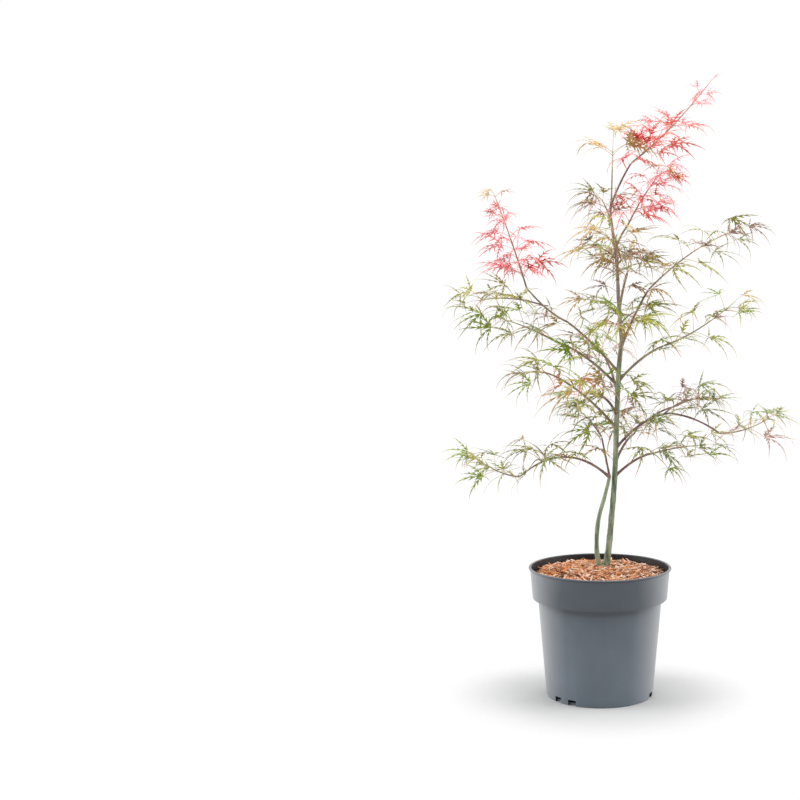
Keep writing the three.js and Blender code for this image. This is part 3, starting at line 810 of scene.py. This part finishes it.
def growLimb(name):
    curve, radii = curves[name], limbRadii(name)
    heading = math.radians(boughs[name]["heading"]) if name in boughs else 0
    flat = Matrix.Rotation(-heading, 3, "Z")
    length = lengthOf(curve)
    count = max(round(length / limbLook["step"]), 6)
    rings = []
    for step in range(count + 1):
        share = step / count
        along = share * length
        fromNode = abs((along + limbLook["nodes"] / 2) % limbLook["nodes"] - limbLook["nodes"] / 2)
        grow = 1
        if along > limbLook["smoothFoot"]:
            grow += limbLook["swell"] * max(0, 1 - fromNode / limbLook["swellReach"])
        if name in boughs and boughs[name]["parent"] in stems:
            grow += limbLook["collar"] * max(0, 1 - along / limbLook["collarReach"])
        ahead = flat @ directionOf(curve, share)
        tilt = math.atan2(ahead.x, ahead.z)
        rings.append((flat @ curve(share) * mm, radiusAlong(radii, share) * grow * mm, tilt))
    if name in boughs or name == "leader":
        # sunk into the limb that it springs from
        point, radius, tilt = rings[0]
        back = flat @ directionOf(curve, 0) * limbLook["sunk"] * mm
        rings.insert(0, (point - back, radius * 0.9, tilt))
    point, radius, tilt = rings[0]
    bpy.ops.mesh.primitive_circle_add(vertices=limbLook["sides"], radius=radius, location=point,
                                      rotation=(0, tilt, 0), fill_type="NGON")
    piece = bpy.context.object
    startEdit()
    for nextPoint, nextRadius, nextTilt in rings[1:]:
        bpy.ops.mesh.extrude_region_move(TRANSFORM_OT_translate={"value": nextPoint - point})
        share = nextRadius / radius
        bpy.ops.transform.resize(value=(share, share, share), center_override=nextPoint)
        bpy.ops.transform.rotate(value=tilt - nextTilt, orient_axis="Y", center_override=nextPoint)
        point, radius, tilt = nextPoint, nextRadius, nextTilt
    endEdit()
    piece.rotation_euler.z = heading
    bpy.ops.object.transform_apply(location=True, rotation=True, scale=True)
    finer = piece.modifiers.new("finer", "SUBSURF")
    finer.levels = finer.render_levels = 1
    bark = piece.modifiers.new("bark", "DISPLACE")
    bark.texture = barkRelief
    bark.texture_coords = "LOCAL"
    bark.strength = limbLook["relief"] * mm * limbLook["reliefShares"][name in boughs]
    applyModifiers(piece)
    bpy.ops.object.shade_smooth()
    return piece


def makeLimbs():
    stemPaint = makeStemBark()
    paints = {kind: makeBoughBark(kind + "BoughBark", *tints) for kind, tints in boughTints.items()}
    for name in stems:
        finishPiece(growLimb(name), "bark_" + name, stemPaint, "stem", name)
    for name in boughs:
        kind = "wine" if name in wineBoughs else "olive"
        finishPiece(growLimb(name), "bark_" + name, paints[kind], "bough", name)


stemTints = {
    "green": (0.18, 0.235, 0.135),
    "bloom": (0.4, 0.44, 0.31),
    "dark": (0.055, 0.075, 0.035),
    "mauve": (0.2, 0.14, 0.12),
    "mauveLight": (0.36, 0.27, 0.23),
    "greenTo": 0.46,       # height in metres where the green bark ends
    "mauveFrom": 0.54,
}

boughTints = {
    # deep, light and fresh colour
    "wine": ((0.085, 0.035, 0.04), (0.23, 0.125, 0.115), (0.26, 0.2, 0.11)),
    "olive": ((0.13, 0.085, 0.065), (0.28, 0.21, 0.13), (0.27, 0.29, 0.1)),
}
wineBoughs = (
    "bough_low_left", "bough_low_left_outer", "bough_low_right", "bough_inner_left", "bough_right_lower",
    "bough_right_lower_outer", "bough_right_inner", "bough_top", "bough_back_low", "bough_front_low",
)


def makeStemBark():
    paint, nodes, links, shader = newMaterial("waxyStemBark", roughness=0.48)
    streaks = noiseOf(nodes, links, 190, 6, (1, 1, 0.22))
    green = rampOf(nodes, links, streaks.outputs["Fac"],
                   [(0.28, stemTints["dark"]), (0.45, stemTints["green"]), (0.72, stemTints["bloom"])])
    mauve = rampOf(nodes, links, streaks.outputs["Fac"],
                   [(0.3, stemTints["mauve"]), (0.7, stemTints["mauveLight"])])
    height = heightOf(nodes, links, stemTints["greenTo"], stemTints["mauveFrom"])
    blend = mixOf(nodes, links, "MIX", height, green.outputs["Color"], mauve.outputs["Color"])
    links.new(blend, shader.inputs["Base Color"])
    pores = noiseOf(nodes, links, 700, 3, (1, 1, 0.5))
    bumpFrom(nodes, links, shader, pores.outputs["Fac"], 0.4, 0.0004)
    return paint


def makeBoughBark(name, deep, light, fresh):
    stops = [(0.3, deep), (0.55, light), (0.75, fresh)]
    return makePatchyPaint(name, stops, patches=(60, 5), grain=(800, 3), relief=(0.35, 0.0003),
                           roughness=0.55)


# foliage: the rule that grows the twigs and leaves of each mass

growth = {
    "firstSeed": 11,
    "ahead": 0.55,         # a stalk leaves its twig outward by one, and this much ahead and up
    "up": 0.25,
    "steepest": 0.6,
    "stray": 0.6,          # how far a pair may stand from its even place, where the gap to the next is 1
    "lastPair": 0.97,      # share of the line at the last pair, and at the leaf that ends it
    "lastLeaf": 0.98,
    "roll": 50,            # how unevenly a pair stands across its twig, in degrees
    "stalk": 0.56,         # length of a stalk, as a share of the longest lobe
    "arch": 0.12,          # and how much it arches
    "longer": 1.18,        # the finely cut lobes are this much longer than the plain ones
    "falls": 0.5,          # and their leaves fall less steeply, because the lobes hang down by themselves
    "twists": 1.6,
    "spreads": {
        # least size and how much larger a leaf may be, then how far its fall and its twist vary
        "full": (0.85, 0.3, 24, 50),
        "small": (0.8, 0.4, 30, 60),
        "broad": (0.8, 0.4, 24, 50),
    },
    "tintSeed": 306,
    "fineSeed": 301,
    "finePlace": 0.75,     # where between two pairs a fine twig leaves, and how far it strays from there
    "fineStray": 0.3,
    "lastFine": 0.95,
    "fineReach": (12, 24),
    "fineRise": (3, 8),
    "fineBow": 1.5,
    "fineLobe": 0.7,       # leaves on the fine twigs, as a share of the mass's own
    "fineShare": 0.2,      # how many of the gaps between pairs have a fine twig
    "budLobe": 40,         # leaves that grow straight from stems and boughs
    "budFall": 30,
    "budSeed": 907,
    "clear": 0.5,          # leaves stay this far from other limbs
    "massRadius": 1.3,     # taken for the stem inside each mass
    "margin": 15,          # and no further than this outside the crown
}


def levelled(aim):
    aim.z = max(-growth["steepest"], min(growth["steepest"], aim.z))
    return aim.normalized()


def sideOf(heading):
    turn = math.radians(heading)
    return Vector((-math.sin(turn), math.cos(turn), 0))


def pairAims(curve, side, share, pair, jitter):
    # the directions of a pair, to both sides of its stem; pairs stand crosswise in turn
    ahead = directionOf(curve, share)
    roll = math.radians(90 * (pair % 2) + growth["roll"] * (jitter - 0.5))
    across = Matrix.Rotation(-roll, 3, ahead) @ side
    return [levelled(across * hand + ahead * growth["ahead"] + up * growth["up"]) for hand in (1, -1)]


def newLeaf(kind, root, aim, share, lobe, fall, twist, draw):
    least, larger, falls, twists = growth["spreads"][kind]
    return {
        "kind": kind, "root": root, "aim": aim, "share": share,
        "lobe": lobe * (least + larger * draw()),
        "fall": math.radians(fall + falls * (draw() - 0.5)),
        "twist": math.radians(twist + twists * (draw() - 0.5)),
    }


def growSpray(shape, curve, seed):
    # leaves in pairs along a mass's line, and one at its end
    draw = seededDraws(seed)
    side = sideOf(shape["heading"])
    leaves = []

    def addLeaf(root, aim, size, share):
        lobe = shape["lobe"] * size
        leaves.append(newLeaf("full", root, aim, share, lobe, shape["fall"], shape["twist"], draw))

    for pair in range(shape["pairs"]):
        place = (pair + growth["stray"] * draw()) / max(shape["pairs"] - 1 + growth["stray"], 1)
        share = shape["bare"] + (growth["lastPair"] - shape["bare"]) * place ** shape["crowd"]
        for aim in pairAims(curve, side, share, pair, draw()):
            addLeaf(curve(share), aim, 1 - shape["taper"] * share, share)
    addLeaf(curve(growth["lastLeaf"]), levelled(directionOf(curve, 1)), 1 - shape["taper"], 1)
    return leaves


def growFineTwigs(shape, curve, seed):
    # between some of the pairs, a short twig with two or three small leaves
    draw = seededDraws(seed)
    twigs, leaves = [], []
    room = growth["lastFine"] - shape["bare"]
    strays = [growth["fineStray"] * (draw() - 0.5) for _ in range(shape["pairs"])]
    for pair, stray in enumerate(strays):
        share = shape["bare"] + room * (pair + growth["finePlace"] + stray) / shape["pairs"]
        if draw() > growth["fineShare"]:
            continue
        aims = pairAims(curve, sideOf(shape["heading"]), share, pair, draw())
        aim = aims[0] if draw() < 0.5 else aims[1]
        heading = math.degrees(math.atan2(aim.y, aim.x))
        reach, rise = (low + (high - low) * draw() for low, high in (growth["fineReach"], growth["fineRise"]))
        twig = archCurve(curve(share), heading, reach, rise, growth["fineBow"])
        twigs.append(twig)
        lobe = shape["lobe"] * growth["fineLobe"] * (1 - shape["taper"] * share)
        tips = [*pairAims(twig, sideOf(heading), 0.9, 0, draw()), levelled(directionOf(twig, 1))]
        for tip in tips[:2] if draw() < 0.5 else tips:
            leaves.append(newLeaf("small", twig(0.97), tip, share, lobe, shape["fall"], 0, draw))
    return twigs, leaves


# leaves: each lobe is a folded strip with forward teeth and a thin tail, arching from the stalk's end

leafShape = {
    "kinds": {
        # bearing and length of each lobe, then how far its teeth reach out and forward, how slim they are,
        # and half the rib's width
        "full": {"lobes": ((-98, 0.5), (-62, 0.82), (-30, 1), (0, 1.06), (30, 1), (62, 0.82), (98, 0.5)),
                 "tooth": 0.062, "forward": 0.1, "slim": 0.3, "rib": 0.013},
        "broad": {"lobes": ((-100, 0.5), (-66, 0.8), (-32, 0.98), (0, 1.06), (32, 0.98), (66, 0.8),
                            (100, 0.5)),
                  "tooth": 0.09, "forward": 0.12, "slim": 0.26, "rib": 0.016},
        "small": {"lobes": ((-66, 0.68), (-32, 0.95), (0, 1.05), (32, 0.95), (66, 0.68)),
                  "tooth": 0.06, "forward": 0.1, "slim": 0.3, "rib": 0.016},
        "cut": {"lobes": ((-100, 0.45), (-64, 0.75), (-32, 0.95), (0, 1.05), (32, 0.95), (64, 0.75),
                          (100, 0.45)),
                "tooth": 0.19, "forward": 0.13, "slim": 0.6, "rib": 0.021},
    },
    "stations": (0, 0.17, 0.33, 0.49, 0.64, 0.82, 1),   # along a lobe, from its foot to its tip
    "shortStations": (0, 0.22, 0.42, 0.62, 0.8, 1),
    "tail": 2,             # this many of the stretches at the end have no teeth
    "lift": 20,            # degrees a lobe rises at its foot
    "liftSpread": 44,
    "droop": 66,           # and bends down by on the way to its tip
    "droopSpread": 64,
    "sweep": 26,           # and sideways at most
    "bearingSpread": 16,
    "lengths": (0.84, 1.16),
    "missing": 0.2,        # how often a leaf lacks one of its lobes under this length
    "missingUnder": 0.9,
    "fold": 0.25,          # how much the teeth hang under the rib
    "variants": 9,
    "firstSeed": 41,
}


def lobeLine(bearing, length, draw):
    # points along a lobe's rib and the sideways direction at each
    turn = math.radians(bearing + leafShape["bearingSpread"] * (draw() - 0.5))
    sweep = math.radians(2 * leafShape["sweep"] * (draw() - 0.5))
    lift = math.radians(leafShape["lift"] + leafShape["liftSpread"] * (draw() - 0.5))
    droop = math.radians(leafShape["droop"] + leafShape["droopSpread"] * (draw() - 0.5))
    stations = leafShape["stations"] if length > 0.5 else leafShape["shortStations"]
    ribs, sides = [Vector((0, 0, 0))], [Vector((-math.sin(turn), math.cos(turn), 0))]
    for start, end in zip(stations, stations[1:]):
        middle = (start + end) / 2
        rise = lift - droop * middle ** 1.5
        bearingNow = turn + sweep * middle
        level = math.cos(rise)
        step = Vector((level * math.cos(bearingNow), level * math.sin(bearingNow), math.sin(rise)))
        ribs.append(ribs[-1] + step * (end - start) * length)
        sides.append(Vector((-math.sin(bearingNow), math.cos(bearingNow), 0)))
    return stations, ribs, sides


def modelLeaf(kind, seed):
    # a leaf with a longest lobe of 1 in its own frame, ahead, left and up: blade, turning ends and bare tips
    shape = leafShape["kinds"][kind]
    draw = seededDraws(seed)
    blade, turning, tips = parts = [([], []), ([], []), ([], [])]

    def addFace(part, corners):
        points, faces = part
        first = len(points)
        points.extend(tuple(corner) for corner in corners)
        faces.append(list(range(first, first + len(corners))))

    shortest, longest = leafShape["lengths"]
    for bearing, share in shape["lobes"]:
        length = share * (shortest + (longest - shortest) * draw())
        if share < leafShape["missingUnder"] and draw() < leafShape["missing"]:
            continue
        stations, ribs, sides = lobeLine(bearing, length, draw)
        last = len(ribs) - 2
        widths = [shape["rib"] * length * (1.2 - 0.75 * station) for station in stations]
        widths[0] *= 0.5
        widths[-1] *= 0.4
        for index in range(last + 1):
            inner, outer = ribs[index], ribs[index + 1]
            feet = [inner + sides[index] * hand * widths[index] for hand in (1, -1)]
            notches = [outer + sides[index + 1] * hand * widths[index + 1] for hand in (1, -1)]
            if index > last - leafShape["tail"]:
                addFace(tips if index == last else turning, [feet[1], notches[1], notches[0], feet[0]])
                continue
            end = stations[index + 1]
            ahead = (outer - inner).normalized()
            for hand, foot, notch in zip((1, -1), feet, notches):
                belly = math.sin(math.pi * (0.22 + 1.1 * end))    # teeth reach furthest near the middle
                reach = shape["tooth"] * length * belly * (0.75 + 0.5 * draw())
                forward = ahead * shape["forward"] * length * (0.5 + end)
                apex = notch + forward + sides[index] * hand * reach - up * reach * leafShape["fold"]
                back = foot + (notch - foot) * shape["slim"]
                corners = [inner, outer, notch, apex, back, foot]
                addFace(turning if index == last - leafShape["tail"] else blade,
                        corners if hand == 1 else corners[::-1])
    return [(np.array(points), faces) for points, faces in parts]


def tubeShape(points, radii, sides):
    rings, faces = [], []
    side = (points[1] - points[0]).orthogonal().normalized()
    last = len(points) - 1
    for index, point in enumerate(points):
        ahead = (points[min(index + 1, last)] - points[max(index - 1, 0)]).normalized()
        side = (side - ahead * side.dot(ahead)).normalized()
        across = ahead.cross(side)
        for corner in range(sides):
            turn = 2 * math.pi * corner / sides
            rings.append(tuple(point + (side * math.cos(turn) + across * math.sin(turn)) * radii[index]))
            if index < last:
                low, high = index * sides, (index + 1) * sides
                after = (corner + 1) % sides
                faces.append([low + corner, low + after, high + after, high + corner])
    faces.append(list(range(sides))[::-1])
    faces.append([last * sides + corner for corner in range(sides)])
    return rings, faces


def limbSamples():
    # points along every limb and along the stem of every mass, with how far a leaf has to stay from each
    samples = []
    for name, curve in curves.items():
        for step, point in enumerate(pointsAlong(curve, 40)):
            radius = growth["massRadius"] if name in masses else radiusAlong(limbRadii(name), step / 40)
            samples.append((name, *point, radius + growth["clear"]))
    names = np.array([sample[0] for sample in samples])
    return names, np.array([sample[1:] for sample in samples], float)


def isFree(points, own, names, limbs):
    # inside the crown, and clear of every limb but its own
    low, high = np.array(cadBox) / mm
    if (points < low - growth["margin"]).any() or (points > high + growth["margin"]).any():
        return False
    others = limbs[names != own]
    gaps = np.linalg.norm(points[:, None, :] - others[None, :, :3], axis=2)
    return bool((gaps > others[None, :, 3]).all())


# tints: each leaf is dealt one colour, by the part of the crown that it grows in

palettes = {
    "low": ("olive", "olive", "grassy", "greyGreen", "olive", "grassy", "greyGreen", "brownOlive"),
    "middle": ("olive", "olive", "grassy", "brownOlive", "greyGreen", "mauve", "olive", "grassy"),
    "fresh": ("bright", "grassy"),
    "rusty": ("rust",),
    "high": ("mauve", "brownOlive", "brownOlive", "olive", "olive", "grassy"),
    "dusk": ("mauve", "mauve", "brownOlive", "olive"),
    "shaded": ("greyGreen", "mauve", "greyGreen", "olive"),
    "coral": ("coral", "crimson", "pink", "coral", "pink"),
    "bronze": ("brownOlive", "gold", "brownOlive"),
}
broadShare = {"low": 0.4, "middle": 0.25, "fresh": 1, "rusty": 0.5, "high": 0.15, "dusk": 0.1, "shaded": 0.4}
cutTints = ("coral", "bronze")
endTints = {
    "from": 0.82,          # share of a coral mass's line where its leaves turn gold, and how many do
    "gold": 0.6,
    "plainTips": 0.35,     # how many leaves have tips like their turning ends
    "pinkStalks": 0.45,
}

leafTints = {
    # slot, deep and light colour, tints of the lobes' turning ends and of their bare tips
    "olive": ("foliage", (0.23, 0.23, 0.035), (0.35, 0.34, 0.065), "olive", "rosy"),
    "grassy": ("foliage", (0.17, 0.25, 0.02), (0.29, 0.37, 0.05), "olive", "rosy"),
    "bright": ("foliage", (0.17, 0.28, 0.008), (0.28, 0.42, 0.02), "bright", "rosy"),
    "greyGreen": ("foliage", (0.19, 0.23, 0.08), (0.31, 0.35, 0.16), "brownOlive", "dusky"),
    "brownOlive": ("foliage", (0.3, 0.19, 0.05), (0.45, 0.3, 0.1), "brownOlive", "rosy"),
    "mauve": ("foliage", (0.29, 0.17, 0.13), (0.46, 0.3, 0.24), "mauve", "dusky"),
    "rosy": ("foliage", (0.5, 0.13, 0.1), (0.66, 0.27, 0.19), None, None),
    "dusky": ("foliage", (0.38, 0.17, 0.14), (0.52, 0.29, 0.22), None, None),
    "rust": ("rust_foliage", (0.4, 0.11, 0.03), (0.58, 0.2, 0.06), "rust", "rosy"),
    "gold": ("rust_foliage", (0.4, 0.24, 0.06), (0.6, 0.38, 0.12), "gold", "rosy"),
    "coral": ("coral_foliage", (0.62, 0.09, 0.07), (0.82, 0.2, 0.15), "coral", "pink"),
    "pink": ("coral_foliage", (0.74, 0.17, 0.19), (0.9, 0.33, 0.34), "pink", "pink"),
    "crimson": ("coral_foliage", (0.45, 0.035, 0.05), (0.68, 0.09, 0.1), "coral", "coral"),
}

twigTints = {
    # slot, deep, light and fresh colour
    "twigs_brown": ("bough", (0.14, 0.085, 0.06), (0.31, 0.22, 0.15), (0.3, 0.3, 0.13)),
    "twigs_green": ("bough", (0.26, 0.2, 0.09), (0.42, 0.36, 0.16), (0.36, 0.4, 0.15)),
    "twigs_pink": ("bough", (0.36, 0.12, 0.11), (0.56, 0.24, 0.2), (0.6, 0.34, 0.24)),
    "stalks_pink": ("bough", (0.55, 0.2, 0.16), (0.72, 0.34, 0.27), (0.7, 0.42, 0.28)),
    "stalks_straw": ("bough", (0.44, 0.34, 0.13), (0.6, 0.48, 0.22), (0.5, 0.5, 0.2)),
}


def makeLeafPaint(tint, deep, light):
    stops = [(0.35, deep), (0.65, light)]
    return makePatchyPaint("leaf_" + tint, stops, patches=(120, 3), grain=(900, 2), relief=(0.25, 0.0003),
                           roughness=0.55, gloss=0.2)


# leaves in pairs straight from a limb, and the mass that they belong to: from stems at these heights,
# from boughs at these shares of their length
budPairs = (
    ("main_stem", "foliage_front_low", (347, 357, 368, 386, 397, 407, 417)),
    ("leader", "foliage_leader_left", (484, 534, 552, 570, 590, 640)),
    ("bough_low_left", "foliage_low_left_crest", (0.66,)),
    ("bough_inner_left", "foliage_inner_left", (0.5, 0.9)),
    ("bough_right_upper", "foliage_right_upper", (0.35, 0.6, 0.85)),
    ("bough_right_middle", "foliage_right_middle", (0.75,)),
    ("bough_left_upper", "foliage_left_upper", (0.6,)),
    ("bough_left_lower", "foliage_left_lower", (0.62,)),
    ("bough_mid_left", "foliage_mid_left_rust", (0.7,)),
    ("bough_mid_left", "foliage_mid_left", (0.3,)),
    ("bough_right_lower", "foliage_right_lower_crest", (0.25, 0.45, 0.7)),
    ("bough_right_inner", "foliage_right_inner", (0.6,)),
    ("bough_top", "foliage_coral_top", (0.9,)),
)


def growBuds(limbName, places):
    curve = curves[limbName]
    side = sideOf(boughs[limbName]["heading"]) if limbName in boughs else Vector((0, 1, 0))
    draw = seededDraws(growth["budSeed"] + len(limbName))
    leaves = []
    for pair, place in enumerate(places):
        share = place if limbName in boughs else shareAtHeight(curve, place)
        for aim in pairAims(curve, side, share, pair, draw()):
            lobe, fall = growth["budLobe"], growth["budFall"]
            leaves.append(newLeaf("broad", curve(share), aim, 0, lobe, fall, 0, draw))
    return leaves


def placeLeaf(leaf, parts):
    centre = leaf["root"] + leaf["aim"] * growth["stalk"] * leaf["lobe"]
    lobe = leaf["lobe"] * growth["longer"]
    fall, aim = leaf["fall"] * growth["falls"], leaf["aim"]
    out = Vector((aim.x, aim.y, 0)).normalized() * math.cos(fall) - up * math.sin(fall)
    left = Matrix.Rotation(leaf["twist"] * growth["twists"], 3, out) @ up.cross(out).normalized()
    turn = np.array([out, left, out.cross(left)])
    return centre, [points @ turn * lobe + np.array(centre) for points, _ in parts]


twigShape = {
    "stemSteps": 12,       # stretches of a mass's own stem, and how many of them are brown
    "brownSteps": 7,
    "stemRadii": (1.2, 0.5),
    "stemSides": 7,
    "fineSteps": 6,
    "fineRadii": (0.55, 0.33),
    "fineSides": 5,
    "stalkRadii": {"full": 0.46, "broad": 0.46, "small": 0.38},
    "stalkTaper": (1, 0.85, 0.8, 1),
    "stalkSides": 4,
}


def growFoliage():
    names, limbs = limbSamples()
    seeds = range(leafShape["firstSeed"], leafShape["firstSeed"] + leafShape["variants"])
    models = {kind: [modelLeaf(kind, seed) for seed in seeds] for kind in leafShape["kinds"]}
    heaps = {kind: [] for kind in (*leafTints, *twigTints)}
    homes = {kind: set() for kind in heaps}
    kept = skipped = 0

    def add(kind, shape, mass):
        heaps[kind].append(shape)
        homes[kind].add(mass)

    def addLeaf(leaf, mass, own, pick):
        nonlocal kept, skipped
        tints = masses[mass]["tints"]
        red = tints == "coral"
        kind = leaf["kind"]
        if tints in cutTints:
            kind = "cut"
        elif kind == "full" and pick() < broadShare[tints]:
            kind = "broad"
        parts = models[kind][int(pick() * leafShape["variants"])]
        tint = palettes[tints][int(pick() * len(palettes[tints]))]
        if red and leaf["share"] > endTints["from"]:
            tint = "gold" if pick() < endTints["gold"] else "pink"
        root = leaf["root"]
        centre, placed = placeLeaf(leaf, parts)
        middle = (root + centre) / 2
        if not isFree(np.concatenate([placed[0][::3], [tuple(middle)]]), own, names, limbs):
            skipped += 1
            return
        kept += 1
        turning, tip = leafTints[tint][3:]
        if pick() < endTints["plainTips"]:
            tip = turning
        for part, points, (_, faces) in zip((tint, turning, tip), placed, parts):
            add(part, (points, faces), mass)
        bend = middle + up * growth["arch"] * leaf["lobe"] * growth["stalk"]
        stalk = [root * (1 - t) ** 2 + bend * 2 * t * (1 - t) + centre * t ** 2 for t in (0, 0.33, 0.67, 1)]
        thick = twigShape["stalkRadii"][leaf["kind"]]
        radii = [thick * taper for taper in twigShape["stalkTaper"]]
        add("stalks_pink" if red or pick() < endTints["pinkStalks"] else "stalks_straw",
            tubeShape(stalk, radii, twigShape["stalkSides"]), mass)

    stemSteps, brown, fineSteps = twigShape["stemSteps"], twigShape["brownSteps"], twigShape["fineSteps"]
    stemRadii = [radiusAlong(twigShape["stemRadii"], step / stemSteps) for step in range(stemSteps + 1)]
    fineRadii = [radiusAlong(twigShape["fineRadii"], step / fineSteps) for step in range(fineSteps + 1)]
    for order, (mass, line) in enumerate(masses.items()):
        shape = {**plain, **line}
        grown = growSpray(shape, curves[mass], growth["firstSeed"] + order)
        fineTwigs, fineLeaves = growFineTwigs(shape, curves[mass], growth["fineSeed"] + order)
        pick = seededDraws(growth["tintSeed"] + 97 * order)
        points = pointsAlong(curves[mass], stemSteps)
        young = "twigs_pink" if line["tints"] == "coral" else "twigs_green"
        sides = twigShape["stemSides"]
        add("twigs_brown", tubeShape(points[:brown + 1], stemRadii[:brown + 1], sides), mass)
        add(young, tubeShape(points[brown:], stemRadii[brown:], sides), mass)
        for twig in fineTwigs:
            points = pointsAlong(twig, fineSteps)
            if isFree(np.array([tuple(point) for point in points[2:]]), mass, names, limbs):
                add(young, tubeShape(points, fineRadii, twigShape["fineSides"]), mass)
        for leaf in grown + fineLeaves:
            addLeaf(leaf, mass, mass, pick)
    for limbName, mass, places in budPairs:
        pick = seededDraws(growth["budSeed"] + 31 * len(limbName + mass))
        for leaf in growBuds(limbName, places):
            addLeaf(leaf, mass, limbName, pick)
    print("leaves:", kept, "kept,", skipped, "left out")
    joinFoliage(heaps, homes)


def joinFoliage(heaps, homes):
    for kind, shapes in heaps.items():
        if not shapes:
            continue
        twigs = kind in twigTints
        name = kind if twigs else "leaves_" + kind
        slot, *tints = twigTints[kind] if twigs else leafTints[kind]
        paint = makeBoughBark(kind + "_bark", *tints) if twigs else makeLeafPaint(kind, *tints[:2])
        piece = joinedMesh(name, shapes)
        finishPiece(piece, name, paint, slot, *sorted(homes[kind]))
        if twigs:
            piece.data.shade_smooth()
        print(name, len(piece.data.polygons), "faces")


# build it all

makeCamera()
makeStage()
print("camera, floor and lamps in place")
makePot()
makeMulchBed()
strewBark()
print("pot filled")
barkRelief = bpy.data.textures.new("barkRelief", "CLOUDS")
barkRelief.noise_scale = limbLook["reliefSize"] * mm
barkRelief.noise_depth = 2
makeLimbs()
print("stems and boughs grown")
growFoliage()
